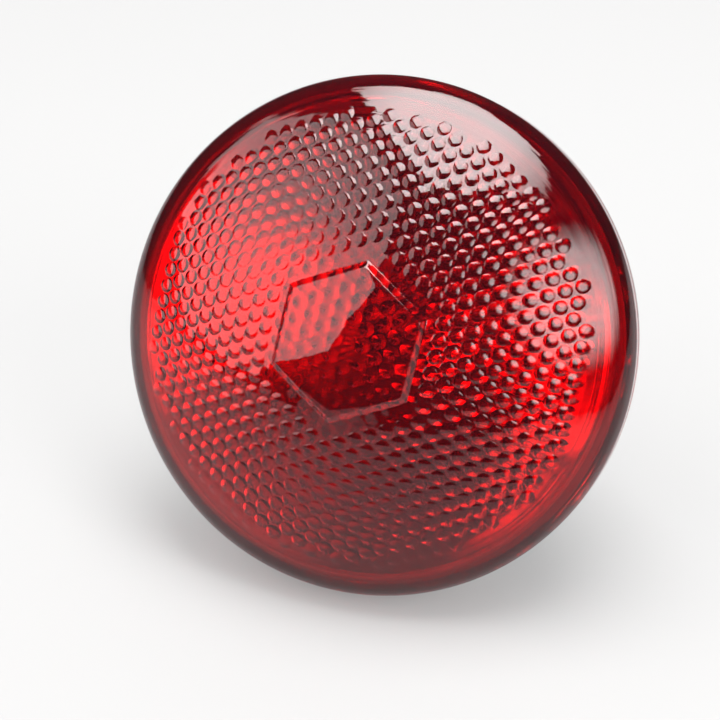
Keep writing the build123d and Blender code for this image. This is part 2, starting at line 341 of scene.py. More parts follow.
def spun_aluminium():
    """Aluminium spun on a lathe: fine lines round the axis, darker where it has been handled."""
    f = Finish("spun_aluminium")
    place = f.lamp_place()
    lines = f.noise(place, 0.0006, detail=3.0, stretch=(40.0, 40.0, 1.0))
    scuff = f.noise(place, 0.004, detail=6.0, roughness=0.65)
    grime = f.noise(place, 0.016, detail=4.0).between(0.5, 0.75)
    colour = f.mix(grime, (0.80, 0.80, 0.81, 1.0), (0.55, 0.54, 0.53, 1.0))
    return f.surface(
        Base_Color=colour,
        Metallic=1.0,
        Roughness=0.22 + lines * 0.12 + scuff.between(0.5, 0.75) * 0.18,
        Normal=f.bump(lines, 0.00002, f.bump(scuff, 0.00002)),
    )


def nickelled_brass():
    """Nickel plate over brass, rubbed through to the brass along the thread's crest."""
    f = Finish("nickelled_brass")
    place = f.lamp_place()
    radius = f.radius(place) / MM
    scuff = f.noise(place, 0.0016, detail=6.0, roughness=0.7)
    crest = SHELL_RADIUS + THREAD_DEPTH
    rubbed = (radius + scuff * 0.5).between(crest + 0.1, crest + 0.42)
    tarnish = f.noise(place, 0.009, detail=4.0).between(0.42, 0.72)
    plate = f.mix(tarnish, (0.76, 0.74, 0.70, 1.0), (0.52, 0.48, 0.42, 1.0))
    return f.surface(
        Base_Color=f.mix(rubbed * 0.8, plate, (0.80, 0.60, 0.30, 1.0)),
        Metallic=1.0,
        Roughness=0.16 + scuff * 0.2 + tarnish * 0.12,
        Normal=f.bump(scuff, 0.00002),
    )


def black_glass():
    """Vitreous black glass, poured hot into the cap: glossy, with small pits and flow ripples."""
    f = Finish("black_glass")
    place = f.lamp_place()
    pits = f.noise(place, 0.0007, detail=3.0).between(0.62, 0.75)
    flow = f.noise(place, 0.004, detail=2.0)
    return f.surface(
        Base_Color=f.mix(flow, (0.008, 0.008, 0.011, 1.0), (0.03, 0.024, 0.03, 1.0)),
        Roughness=0.06 + pits * 0.3,
        IOR=1.55,
        Normal=f.bump(pits * -1.0, 0.00005, f.bump(flow, 0.00012)),
    )


def contact_brass():
    """Punched brass, scratched in rings where lampholders have turned against it."""
    f = Finish("contact_brass")
    place = f.lamp_place()
    rings = f.node("ShaderNodeTexNoise", {"noise_dimensions": "1D"}, {"W": f.radius(place), "Scale": 9000.0})
    tarnish = f.noise(place, 0.002, detail=5.0, roughness=0.6)
    return f.surface(
        Base_Color=f.mix(tarnish.between(0.4, 0.7), (0.78, 0.60, 0.32, 1.0), (0.45, 0.30, 0.16, 1.0)),
        Metallic=1.0,
        Roughness=0.2 + rings * 0.15 + tarnish * 0.1,
        Normal=f.bump(rings, 0.00001),
    )


def soft_metal(name, light, dark, smooth, rough, grain, depth):
    """A soldered, drawn or cast metal: two tones of one colour, with a fine grain that also dulls it. The
    roughness runs from smooth to rough, and the grain's size and depth are in metres."""
    f = Finish(name)
    place = f.lamp_place()
    tone = f.noise(place, grain * 3, detail=5.0, roughness=0.6)
    fine = f.noise(place, grain, detail=4.0, roughness=0.6)
    return f.surface(
        Base_Color=f.mix(tone.between(0.35, 0.7), (*light, 1.0), (*dark, 1.0)),
        Metallic=1.0,
        Roughness=smooth + fine * (rough - smooth),
        Normal=f.bump(fine, depth),
    )


def basing_cement():
    """Baked basing cement: chalky, with darker grains, and small voids: dents whose darker colour is painted
    shade.
    """
    f = Finish("basing_cement")
    place = f.lamp_place()
    grain = f.noise(place, 0.0004, detail=4.0, roughness=0.7)
    void_dents_and_painted_shade = f.noise(place, 0.0012, detail=2.0).between(0.6, 0.7)
    colour = f.mix(grain, (0.86, 0.83, 0.76, 1.0), (0.62, 0.57, 0.48, 1.0))
    return f.surface(
        # The voids' darker colour is painted shade in the dents; the bump further down makes the dents
        # themselves.
        Base_Color=f.mix(void_dents_and_painted_shade, colour, (0.4, 0.36, 0.3, 1.0)),
        Roughness=0.85 + grain * 0.1,
        Normal=f.bump(grain - void_dents_and_painted_shade, 0.0001),
    )


# Every finish is made once, under the name of the record's material slot
FINISHES = {
    "red_glass": ruby_glass(),
    "clear_glass": clear_glass(),
    "silvering": silvering(),
    "skirt_aluminium": spun_aluminium(),
    "nickelled_brass": nickelled_brass(),
    "black_glass": black_glass(),
    "contact_brass": contact_brass(),
    "cement": basing_cement(),
    "solder": soft_metal("solder", (0.78, 0.79, 0.80), (0.50, 0.51, 0.52), 0.2, 0.5, 0.0006, 0.00003),
    "tungsten": soft_metal("tungsten", (0.36, 0.36, 0.37), (0.22, 0.22, 0.23), 0.3, 0.5, 0.0002, 0.00001),
    "lead_wire": soft_metal(
        "copper_lead", (0.80, 0.47, 0.30), (0.45, 0.24, 0.15), 0.25, 0.5, 0.0006, 0.00001,
    ),
    "ferrule_alloy": soft_metal(
        "ferrule_alloy", (0.62, 0.60, 0.57), (0.38, 0.36, 0.34), 0.3, 0.55, 0.0008, 0.00001,
    ),
    "post_nickel": soft_metal(
        "post_nickel", (0.70, 0.69, 0.66), (0.48, 0.46, 0.43), 0.2, 0.4, 0.0006, 0.00001,
    ),
    "molybdenum": soft_metal(
        "molybdenum", (0.50, 0.50, 0.52), (0.34, 0.34, 0.36), 0.3, 0.5, 0.0003, 0.00001,
    ),
}


# ---------------------------------------------------------------- shaping

def arc(centre, radius, start, end, steps):
    """Points of radius against height along an arc, whose angles are in degrees up from straight out."""
    turns = [math.radians(start + (end - start) * n / steps) for n in range(steps + 1)]
    return [(centre[0] + radius * math.cos(a), centre[1] + radius * math.sin(a)) for a in turns]


def parabola(start, end, steps):
    """Points along a parabola centred on the axis, evenly spaced in radius."""
    slope_share = (end[1] - start[1]) / (end[0] ** 2 - start[0] ** 2)
    radii = [start[0] + (end[0] - start[0]) * n / steps for n in range(steps + 1)]
    return [(r, start[1] + (r * r - start[0] ** 2) * slope_share) for r in radii]


def line(start, end, steps):
    """Points along a straight line, both ends in."""
    return [tuple(a + (b - a) * n / steps for a, b in zip(start, end)) for n in range(steps + 1)]


def spun(outline, closed=True, steps=SPIN_STEPS):
    """A bmesh turned about the axis from an outline of radius against height."""
    bm = bmesh.new()
    points = [bm.verts.new((r, 0.0, z)) for r, z in outline]
    sides = list(zip(points, points[1:]))
    if closed:
        sides.append((points[-1], points[0]))
    edges = [bm.edges.new(side) for side in sides]
    bmesh.ops.spin(
        bm, geom=points + edges, axis=(0, 0, 1), cent=(0, 0, 0),
        angle=2 * math.pi, steps=steps, use_merge=True,
    )
    bmesh.ops.remove_doubles(bm, verts=bm.verts, dist=WELD)
    bmesh.ops.recalc_face_normals(bm, faces=bm.faces)
    return bm


def grown(bm, rim, place):
    """Extrudes a closed rim of edges to a new one, each of whose points goes where place puts it."""
    made = bmesh.ops.extrude_edge_only(bm, edges=rim)["geom"]
    for part in made:
        if isinstance(part, bmesh.types.BMVert):
            part.co = place(part.co)
    return [part for part in made if isinstance(part, bmesh.types.BMEdge) and part.is_boundary]


def closed_at(bm, rim, centre):
    """Closes a rim with a fan of triangles that meet at a point."""
    last = grown(bm, rim, lambda co: Vector(centre))
    ends = list({vertex for edge in last for vertex in edge.verts})
    bmesh.ops.pointmerge(bm, verts=ends, merge_co=centre)


def as_mesh(bm, name):
    """Turns a bmesh into a mesh, and frees it."""
    mesh = bpy.data.meshes.new(name)
    bm.to_mesh(mesh)
    bm.free()
    return mesh


def in_scene(name, mesh, material=None):
    """Puts a mesh in the scene as an object."""
    made = bpy.data.objects.new(name, mesh)
    bpy.context.scene.collection.objects.link(made)
    if material is not None:
        mesh.materials.append(material)
    return made


def finished(bm, name, slot, node, sharp=35.0):
    """Lays a piece down in the row frame, smooths it between edges sharper than an angle, and hands it over
    in place of its CAD node."""
    for face in bm.faces:
        face.smooth = True
    for edge in bm.edges:
        edge.smooth = edge.calc_face_angle(0.0) < math.radians(sharp)
    bm.transform(LAMP_TO_ROW)
    piece = in_scene(name, as_mesh(bm, name), FINISHES[slot])
    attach(piece, "root")
    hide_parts(node)
    return piece


def on_axis_at(radius, height):
    """A place function for grown(): the point keeps its angle and goes to that radius and height."""
    def place(co):
        share = radius / math.hypot(co.x, co.y)
        return Vector((co.x * share, co.y * share, height))
    return place


# ---------------------------------------------------------------- lens

class Relief:
    """One side of the lens's bumps: their size, and the flat sheet of tiles that carries them.

    A bump is the top of a ball, cut where its slope is edge_slope degrees, on a foot of a width and a height.
    The tiles lie within a circle of radius field, and a smooth ring joins them to one of radius edge.
    """

    def __init__(self, radius, edge_slope, foot, sides, field, edge):
        self.radius = radius
        self.foot_width, self.foot_height = foot
        self.sides = sides
        self.field = field
        self.edge = edge
        self.ball_radius = radius / math.sin(math.radians(edge_slope))
        self.top = self.foot_height + self.lift_within(0.0) - self.lift_within(radius)

    def lift_within(self, radius):
        """How high the ball's surface is over its centre, at a distance from the bump's middle."""
        return math.sqrt(self.ball_radius**2 - radius**2)

    def lift(self, radius):
        """How high a bump stands over the dome at a distance from its middle."""
        if radius > self.radius + self.foot_width / 2:
            return 0.0
        return self.top + self.lift_within(radius) - self.ball_radius

    def tile(self, with_bump):
        """One hexagonal tile, flat but for its bump, whose lift over the dome is the tile's height."""
        bm = bmesh.new()
        turn = Matrix.Rotation(math.radians(BOSS_TURN + 30.0 - 90.0), 4, "Z")
        crown = self.radius * BUMP_CROWN_SHARE
        bmesh.ops.create_circle(
            bm, cap_ends=True, cap_tris=with_bump, segments=self.sides, radius=crown, matrix=turn
        )
        if not with_bump:
            for vertex in bm.verts:
                vertex.co = to_tile_edge(vertex.co)
            return bm
        for vertex in bm.verts:
            vertex.co.z = self.lift(vertex.co.length)
        rim = [edge for edge in bm.edges if edge.is_boundary]
        for radius in (self.radius, self.radius + self.foot_width):
            rim = grown(bm, rim, on_axis_at(radius, self.lift(radius)))
        grown(bm, rim, to_tile_edge)
        return bm

    def sheet(self, clear_of=0.0):
        """The flat skin of tiles over the round field, with bumps wherever they are clear of the hexagon."""
        tiles = {}
        for with_bump in (True, False):
            tiles[with_bump] = as_mesh(self.tile(with_bump), "tile")
        sheet = bmesh.new()
        row, column = along(BOSS_TURN) * BUMP_PITCH, along(BOSS_TURN + 60.0) * BUMP_PITCH
        reach = self.field - self.radius - self.foot_width
        count = math.ceil(reach / BUMP_PITCH / math.cos(math.radians(30.0)))
        for i in range(-count, count + 1):
            for j in range(-count, count + 1):
                place = column * (j + 0.5) + row * i
                if place.length > reach:
                    continue
                clear = hexagon_distance(place) - self.radius - self.foot_width >= clear_of
                move = Matrix.Translation(place)
                tiles[clear].transform(move)
                sheet.from_mesh(tiles[clear])
                tiles[clear].transform(move.inverted())
        for mesh in tiles.values():
            bpy.data.meshes.remove(mesh)
        bmesh.ops.remove_doubles(sheet, verts=sheet.verts, dist=WELD)
        return sheet

    def ring_field(self, sheet):
        """Joins the sheet's ragged outer edge to a true circle, and returns the circle's edges."""
        ragged = [e for e in sheet.edges if e.is_boundary]
        circle = bmesh.ops.create_circle(sheet, segments=FIELD_EDGE_STEPS, radius=self.edge)["verts"]
        ring = list({e for v in circle for e in v.link_edges})
        bmesh.ops.triangle_fill(sheet, use_beauty=True, edges=ragged + ring, normal=(0, 0, 1))
        return ring

    def bend_over(self, sheet, dome_radius, way):
        """Bends the sheet over a dome. A point keeps its distance from the axis. Bumps stand outwards where
        way is 1.0 and inwards where it is -1.0."""
        for vertex in sheet.verts:
            radius = dome_radius + way * vertex.co.z
            vertex.co.z = DOME_CENTRE + math.sqrt(radius**2 - vertex.co.x**2 - vertex.co.y**2)


def to_tile_edge(co):
    """A place function for grown(): the point goes out to the lattice tile's edge."""
    from_side = (math.degrees(math.atan2(co.y, co.x)) - BOSS_TURN + 30.0) % 60.0 - 30.0
    reach = BUMP_PITCH / 2 / math.cos(math.radians(from_side))
    return Vector((co.x, co.y, 0.0)).normalized() * reach


def along(angle):
    """A unit vector at an angle in degrees."""
    return Vector((math.cos(math.radians(angle)), math.sin(math.radians(angle)), 0.0))


def hexagon_distance(point):
    """How far out a point is, measured square to the nearest of the hexagon's sides."""
    return max(abs(point.dot(along(BOSS_TURN + 30.0 + 60.0 * n))) for n in range(3))


OUTER = Relief(**OUTER_BUMPS)
INNER = Relief(**INNER_BUMPS)
BUMP_LIFT = OUTER.top
BASE_DOME_RADIUS = DOME_RADIUS - BUMP_LIFT
BOSS_FOOT_APOTHEM = BOSS_APOTHEM + BOSS_SIDE_WIDTH


def faces_within(sheet, apothem):
    """The sheet's faces whose middles are inside a hexagon that has that apothem."""
    return [f for f in sheet.faces if hexagon_distance(f.calc_center_median()) < apothem]


def cut_hexagon(sheet):
    """Cuts the hexagon's foot out of the sheet and returns the rim of the hole."""
    for n in range(6):
        way = along(BOSS_TURN + 30.0 + 60.0 * n)
        near = faces_within(sheet, BOSS_FOOT_APOTHEM + BUMP_PITCH / 2)
        edges = list({e for f in near for e in f.edges})
        corners = list({v for f in near for v in f.verts})
        bmesh.ops.bisect_plane(
            sheet, geom=near + edges + corners, plane_co=way * BOSS_FOOT_APOTHEM, plane_no=way, dist=WELD
        )
    bmesh.ops.delete(sheet, geom=faces_within(sheet, BOSS_FOOT_APOTHEM), context="FACES")
    return [
        e for e in sheet.edges
        if e.is_boundary and all(hexagon_distance(v.co) < BOSS_FOOT_APOTHEM + WELD for v in e.verts)
    ]


def hexagon_reach(angle, apothem):
    """How far the edge of a round-cornered hexagon is from its middle, at an angle in degrees."""
    from_corner = math.radians((angle - BOSS_TURN + 30.0) % 60.0 - 30.0)
    straight = apothem / math.cos(math.radians(30.0) - abs(from_corner))
    round_centre = (apothem - BOSS_CORNER_ROUND) / math.cos(math.radians(30.0))
    across = round_centre * math.sin(from_corner)
    if abs(across) >= BOSS_CORNER_ROUND:
        return straight
    corner = round_centre * math.cos(from_corner) + math.sqrt(BOSS_CORNER_ROUND**2 - across**2)
    return min(straight, corner)


def raise_hexagon(sheet, rim):
    """Grows the hexagon out of its hole: its sloping side, then its top."""
    top_lift = BUMP_LIFT + BOSS_HEIGHT

    def at(apothem, lift):
        def place(co):
            reach = hexagon_reach(math.degrees(math.atan2(co.y, co.x)), apothem)
            flat = Vector((co.x, co.y, 0.0)).normalized() * reach
            return Vector((flat.x, flat.y, lift))
        return place

    for inward, share in BOSS_SIDE_PROFILE:
        rim = grown(sheet, rim, at(BOSS_FOOT_APOTHEM - inward * BOSS_SIDE_WIDTH, share * top_lift))
    for share in BOSS_TOP_RINGS:
        rim = grown(sheet, rim, at(BOSS_APOTHEM * share, top_lift))
    closed_at(sheet, rim, (0.0, 0.0, top_lift))


def lens_edge_outline():
    """From the bump field out over the shoulder, down the rim, across the seam and back under the dome."""
    shoulder_reach = DOME_RADIUS - SHOULDER_RADIUS
    shoulder_turn = math.degrees(math.asin((RIM_RADIUS - SHOULDER_RADIUS) / shoulder_reach))
    field_turn = math.degrees(math.asin(OUTER.edge / BASE_DOME_RADIUS))
    band = arc((0.0, DOME_CENTRE), BASE_DOME_RADIUS, 90.0 - field_turn, 90.0 - shoulder_turn, 3)[1:]
    shoulder = []
    steps = 12
    for n in range(1, steps + 1):
        share = 1.0 - n / steps
        sunk = BUMP_LIFT * share * share * (3.0 - 2.0 * share)
        centre = (RIM_RADIUS - SHOULDER_RADIUS, RIM_FRONT)
        shoulder += arc(centre, SHOULDER_RADIUS - sunk, 0.0, (90.0 - shoulder_turn) * share, 1)[1:]
    seam = SEAM - SEAM_SINK
    edge = arc((RIM_RADIUS - SEAM_ROUND, seam + SEAM_ROUND), SEAM_ROUND, 0.0, -90.0, 5)
    inner_reach = INNER_DOME_RADIUS - INNER_SHOULDER_RADIUS
    inner_turn = math.degrees(math.asin((SEAL_RADIUS - INNER_SHOULDER_RADIUS) / inner_reach))
    inner_height = DOME_CENTRE + inner_reach * math.cos(math.radians(inner_turn))
    inner_centre = (SEAL_RADIUS - INNER_SHOULDER_RADIUS, inner_height)
    inner_edge = arc(inner_centre, INNER_SHOULDER_RADIUS, 0.0, 90.0 - inner_turn, 6)
    under = [(INNER.edge, DOME_CENTRE + math.sqrt(INNER_DOME_RADIUS**2 - INNER.edge**2))]
    return band + shoulder + edge + line((SEAL_RADIUS, seam), inner_edge[0], 2)[:-1] + inner_edge + under


def front_lens():
    """The lens, one closed solid of ruby glass: bumps and hexagon outside, rim, seam face, bumps inside."""
    lens = OUTER.sheet(clear_of=BOSS_FOOT_APOTHEM)
    raise_hexagon(lens, cut_hexagon(lens))
    rim = OUTER.ring_field(lens)
    OUTER.bend_over(lens, BASE_DOME_RADIUS, 1.0)
    for radius, height in lens_edge_outline():
        rim = grown(lens, rim, on_axis_at(radius, height))
    inside = INNER.sheet()
    INNER.ring_field(inside)
    INNER.bend_over(inside, INNER_DOME_RADIUS, -1.0)
    lining = as_mesh(inside, "lining")
    lens.from_mesh(lining)
    bpy.data.meshes.remove(lining)
    bmesh.ops.remove_doubles(lens, verts=[v for v in lens.verts if v.is_boundary], dist=10 * WELD)
    bmesh.ops.recalc_face_normals(lens, faces=lens.faces)
    finished(lens, "ruby_lens", "red_glass", "front_lens", sharp=16.0)


# ---------------------------------------------------------------- bowl and mirror

def pierced(piece, holes):
    """Cuts round holes along the lamp's axis through the bowl's floor. A hole is its x and its radius."""
    bm = bmesh.new()
    depth = 4 * (FLOOR_FRONT - FLOOR_BACK)
    for x, radius in holes:
        place = Matrix.Translation((x, 0.0, FLOOR_FRONT))
        bmesh.ops.create_cone(
            bm, cap_ends=True, segments=48, radius1=radius, radius2=radius, depth=depth, matrix=place
        )
    bm.transform(LAMP_TO_ROW)
    drill_mesh = as_mesh(bm, "drill")
    drill = in_scene("drill", drill_mesh)
    cut = piece.modifiers.new("holes", "BOOLEAN")
    cut.operation = "DIFFERENCE"
    cut.object = drill
    cut.solver = "EXACT"
    drilled = piece.evaluated_get(bpy.context.evaluated_depsgraph_get())
    pierced_mesh = bpy.data.meshes.new_from_object(drilled)
    piece.modifiers.clear()
    piece.data = pierced_mesh
    bpy.data.objects.remove(drill)
    bpy.data.meshes.remove(drill_mesh)


def reflector_bowl():
    """The glass bowl: flange, wall, neck and floor."""
    seam = SEAM + SEAM_SINK
    flange_corner = (RIM_RADIUS - FLANGE_ROUND, FLANGE_BACK + FLANGE_ROUND)
    outline = (
        parabola((FLOOR_RADIUS, FLOOR_FRONT), (SEAL_RADIUS, seam), 36)
        + arc((RIM_RADIUS - SEAM_ROUND, seam - SEAM_ROUND), SEAM_ROUND, 90.0, 0.0, 5)
        + arc(flange_corner, FLANGE_ROUND, 0.0, -90.0, 6)
        + parabola((FLANGE_ROOT_RADIUS, FLANGE_BACK), (NECK_RADIUS, BOWL_FOOT_Z), 36)
        + arc((NECK_RADIUS - NECK_ROUND, NECK_BOTTOM + NECK_ROUND), NECK_ROUND, 0.0, -90.0, 4)
        + [(NECK_BORE_RADIUS, NECK_BOTTOM), (NECK_BORE_RADIUS, FLOOR_BACK)]
        + [(0.0, FLOOR_BACK), (0.0, FLOOR_FRONT)]
    )
    bowl = finished(spun(outline), "glass_bowl", "clear_glass", "reflector_bowl")
    bore = FERRULE_RADIUS + FILM_GAP
    pierced(bowl, [(-POST_OFFSET, bore), (POST_OFFSET, bore), (0.0, EXHAUST_BORE_RADIUS)])


def mirror_film():
    """The silvering inside the bowl, cut back round the seals."""
    near = FILM_GAP
    far = FILM_GAP + FILM_THICKNESS
    top = SEAM - FILM_GAP
    outline = (
        [(0.0, FLOOR_FRONT + near)]
        + parabola((FLOOR_RADIUS - near, FLOOR_FRONT + near), (SEAL_RADIUS - near, top), 48)
        + parabola((SEAL_RADIUS - far, top), (FLOOR_RADIUS - far, FLOOR_FRONT + far), 48)
        + [(0.0, FLOOR_FRONT + far)]
    )
    film = finished(spun(outline), "mirror_film_skin", "silvering", "mirror_film")
    ring = FERRULE_RADIUS + FILM_RING_GAP
    pierced(film, [(-POST_OFFSET, ring), (POST_OFFSET, ring), (0.0, EXHAUST_BORE_RADIUS)])


# ---------------------------------------------------------------- filament

def filament():
    """The tungsten coil: wire wound in a long helix, then bent in half a ring round the mirror's focus."""
    end_turn = math.asin(CLAMP_RADIUS / POST_OFFSET)
    length = POST_OFFSET * (math.pi - 2 * end_turn)
    bm = bmesh.new()
    sides, steps_in_turn = 8, 12
    upright = Matrix.Rotation(math.pi / 2, 4, "X")
    place = Matrix.Translation((COIL_RADIUS - COIL_WIRE_RADIUS, 0.0, 0.0)) @ upright
    bmesh.ops.create_circle(bm, cap_ends=True, segments=sides, radius=COIL_WIRE_RADIUS, matrix=place)
    end = list(bm.verts) + list(bm.edges) + list(bm.faces)
    steps = COIL_TURNS * steps_in_turn
    bmesh.ops.spin(
        bm, geom=end, axis=(0, 0, 1), cent=(0, 0, 0), dvec=(0, 0, length / steps),
        angle=2 * math.pi * COIL_TURNS, steps=steps, use_merge=False,
    )
    bmesh.ops.recalc_face_normals(bm, faces=bm.faces)
    for vertex in bm.verts:
        turn = end_turn + vertex.co.z / POST_OFFSET
        out = POST_OFFSET + vertex.co.x
        vertex.co = (out * math.cos(turn), out * math.sin(turn), FOCUS + vertex.co.y)
    finished(bm, "wound_filament", "tungsten", "filament")


# ---------------------------------------------------------------- cap

def walled(bm, thickness):
    """Gives an open spun skin a wall on its inner side."""
    bmesh.ops.recalc_face_normals(bm, faces=bm.faces)
    bmesh.ops.solidify(bm, geom=bm.faces, thickness=thickness)
    bmesh.ops.recalc_face_normals(bm, faces=bm.faces)
    return bm


def skirt():
    """The spun aluminium skirt: collar, sloping shoulder with rounded bends, sleeve and a rolled bead."""
    collar_low = SHELL_HIGH - COLLAR_HEIGHT
    rise = SKIRT_SHOULDER_TOP - SHELL_HIGH
    spread = SLEEVE_RADIUS - COLLAR_RADIUS
    slope = math.degrees(math.atan2(rise, spread))
    cut = SKIRT_BEND * math.tan(math.radians((90.0 - slope) / 2))
    low, high = SHELL_HIGH - cut, SKIRT_SHOULDER_TOP + cut
    bead_middle = (SLEEVE_RADIUS - SKIRT_BEAD_SINK, SKIRT_MOUTH - SKIRT_BEAD - SKIRT_LIP)
    bead = arc(bead_middle, SKIRT_BEAD + SKIRT_BEAD_SINK, -56.0, 60.0, 8)
    outline = (
        line((COLLAR_RADIUS, collar_low), (COLLAR_RADIUS, low), 2)[:-1]
        + arc((COLLAR_RADIUS + SKIRT_BEND, low), SKIRT_BEND, 180.0, 90.0 + slope, 5)
        + arc((SLEEVE_RADIUS - SKIRT_BEND, high), SKIRT_BEND, slope - 90.0, 0.0, 6)
        + line((SLEEVE_RADIUS, high), (SLEEVE_RADIUS, bead[0][1] - 0.2), 6)[1:]
        + bead
    )
    skin = spun(outline, closed=False, steps=SKIRT_SPIN_STEPS)
    finished(walled(skin, SKIRT_WALL), "spun_skirt", "skirt_aluminium", "skirt")


def screw_shell():
    """The rolled shell: a thin tube pressed into a right-hand thread that fades out at both ends."""
    thread_end = THREAD_START + THREAD_TURNS * THREAD_PITCH
    side = line((SHELL_RADIUS, SHELL_LOW), (SHELL_RADIUS, SHELL_HIGH), 100)
    tube = spun(side, closed=False, steps=CAP_SPIN_STEPS)
    for vertex in tube.verts:
        turn = math.atan2(vertex.co.y, vertex.co.x) / (2 * math.pi)
        height = vertex.co.z
        ridge = 0.5 + 0.5 * math.cos(2 * math.pi * ((height - THREAD_START) / THREAD_PITCH - turn))
        into = min(max((height - THREAD_START + THREAD_PITCH / 4) / THREAD_PITCH * 2, 0.0), 1.0)
        out = min(max((thread_end + THREAD_PITCH / 4 - height) / THREAD_PITCH * 2, 0.0), 1.0)
        radius = SHELL_RADIUS + THREAD_DEPTH * ridge * into * out
        vertex.co = on_axis_at(radius, height)(vertex.co)
    finished(walled(tube, SHELL_WALL), "rolled_screw_shell", "nickelled_brass", "screw_shell")


def base_insulator():
    """The black glass between shell and contact: a cone with poured, rounded edges."""
    seat = SHELL_RADIUS - SHELL_WALL - FILM_GAP
    tip = (INSULATOR_TIP_RADIUS - INSULATOR_TIP_ROUND, CONTACT_SEAT + INSULATOR_TIP_ROUND)
    foot = (seat - INSULATOR_SEAT_ROUND, SHELL_LOW + 0.1)
    outline = (
        [(LEAD_HOLE_RADIUS, CONTACT_SEAT), (tip[0], CONTACT_SEAT)]
        + arc(tip, INSULATOR_TIP_ROUND, -80.0, -35.0, 4)
        + line((INSULATOR_TIP_RADIUS + 1.2, CONTACT_SEAT + 1.1), (seat - 0.9, SHELL_LOW - 0.75), 5)
        + arc(foot, INSULATOR_SEAT_ROUND, -35.0, 0.0, 3)
        + [(seat, INSULATOR_TOP), (LEAD_HOLE_RADIUS, SHELL_LOW + 1.5)]
    )
    finished(spun(outline, steps=CAP_SPIN_STEPS), "glass_insulator", "black_glass", "base_insulator")


def centre_contact():
    """The brass disc, with the rounded edge of a punched blank."""
    low, edge = CONTACT_SEAT - CONTACT_THICKNESS, CONTACT_EDGE_ROUND
    outline = (
        [(LEAD_HOLE_RADIUS, low)]
        + arc((CONTACT_RADIUS - edge, low + edge), edge, -90.0, 0.0, 4)
        + [(CONTACT_RADIUS, CONTACT_SEAT), (LEAD_HOLE_RADIUS, CONTACT_SEAT)]
    )
    finished(spun(outline, steps=CONTACT_SPIN_STEPS), "contact_disc", "contact_brass", "centre_contact")


def uneven(bm, amount, size):
    """Draws a blob's points in by up to a share, in a smooth wave of about that size, as solder sets."""
    for vertex in bm.verts:
        co = vertex.co
        wave = math.sin(co.x / size + 1.3) * math.sin(co.y / size + 0.4) * math.cos(co.z / size + 0.8)
        vertex.co = co * (1.0 - amount * (0.5 + 0.5 * wave))


def contact_solder():
    """The low dome of solder over the end of the centre lead."""
    ball = (SOLDER_RADIUS**2 + SOLDER_HEIGHT**2) / (2 * SOLDER_HEIGHT)
    half_turn = math.degrees(math.asin(SOLDER_RADIUS / ball))
    outline = arc((0.0, ball), ball, -90.0, half_turn - 90.0, 8) + [(0.0, SOLDER_HEIGHT)]
    blob = spun(outline, steps=SOLDER_SPIN_STEPS)
    lift = Matrix.Translation((0.0, 0.0, -SOLDER_HEIGHT))
    blob.transform(lift)
    uneven(blob, 0.08, 0.9)
    blob.transform(lift.inverted())
    finished(blob, "contact_solder_blob", "solder", "contact_solder")


def side_joint():
    """The bead of solder where the side lead comes out through the skirt's shoulder."""
    low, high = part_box("side_joint")
    middle = LAMP_TO_ROW.inverted() @ ((low + high) / 2)
    bm = bmesh.new()
    bmesh.ops.create_icosphere(bm, subdivisions=4, radius=SIDE_JOINT_RADIUS)
    uneven(bm, 0.12, 0.8)
    bm.transform(Matrix.Translation(middle))
    finished(bm, "side_solder_bead", "solder", "side_joint")


front_lens()
reflector_bowl()
mirror_film()
filament()
skirt()
screw_shell()
base_insulator()
centre_contact()
contact_solder()
side_joint()

# The other CAD nodes stay, in the finish of their material slot
node_slots = {part["node"]: part["material_slot"] for part in frame["record"]["subparts"]}
for name, node in frame["nodes"].items():
    if not node.hide_render:
        node.data.materials.clear()
        node.data.materials.append(FINISHES[node_slots[name]])


# ---------------------------------------------------------------- studio

CAMERA_AZIMUTH = 17.06
CAMERA_ELEVATION = 31.65
CAMERA_DISTANCE = 0.3947
CAMERA_ASIDE = Vector((-0.00341, -0.00527))
CAMERA_LENS = 85.0

# The softboxes. Matt surfaces get one share of a softbox's strength, and what is seen through glass another.
# It fades out between two distances from its middle, and not at all where those are past its edge. The
# overhead one's corners are shares of its height over the lens.
SOFTBOX_COLOUR = (1.0, 0.985, 0.97, 1.0)
MATT_SHARE = 0.45
LIGHT_HEIGHT = 1.35
OVERHEAD_CORNERS = ((0.01, -0.375), (0.64, -0.16), (-0.50, 0.27), (0.11, 0.48))
OVERHEAD_LIGHT = {"strength": 14.0, "fade": (0.25, 1.15), "through": 0.35}
STANDING_DISTANCE = 1.3
NO_FADE = (8.0, 9.0)
LEFT_WAY = (-56.0, 37.0)
LEFT_APOTHEM = 0.89
LEFT_LIGHT = {"strength": 3.0, "fade": NO_FADE, "through": 2.1}
RIGHT_WAY = (60.0, 31.0)
RIGHT_APOTHEM = 0.52
RIGHT_LIGHT = {"strength": 8.0, "fade": (0.24, 0.52), "through": 0.0}

# The room's colour and strength in the lamp's reflections, as light on the table, and straight to the camera
ROOM_REFLECTED = ((1.0, 0.97, 0.95), 0.06)
ROOM_FILL = ((1.0, 1.0, 1.0), 1.5)
ROOM_SEEN = ((0.93, 0.935, 0.94), 1.0)
TABLE_GLOW = 0.22
TABLE_RADIUS = 6.0


def way_to(azimuth, elevation):
    """The unit vector towards an azimuth, from -Y round to +X, and an elevation, in degrees."""
    a, e = math.radians(azimuth), math.radians(elevation)
    return Vector((math.sin(a) * math.cos(e), -math.cos(a) * math.cos(e), math.sin(e)))


def lens_middle():
    """The point on the axis level with the front of the rim, where the camera and the softboxes aim."""
    return LAMP_ORIGIN + LENS_WAY * RIM_FRONT * MM


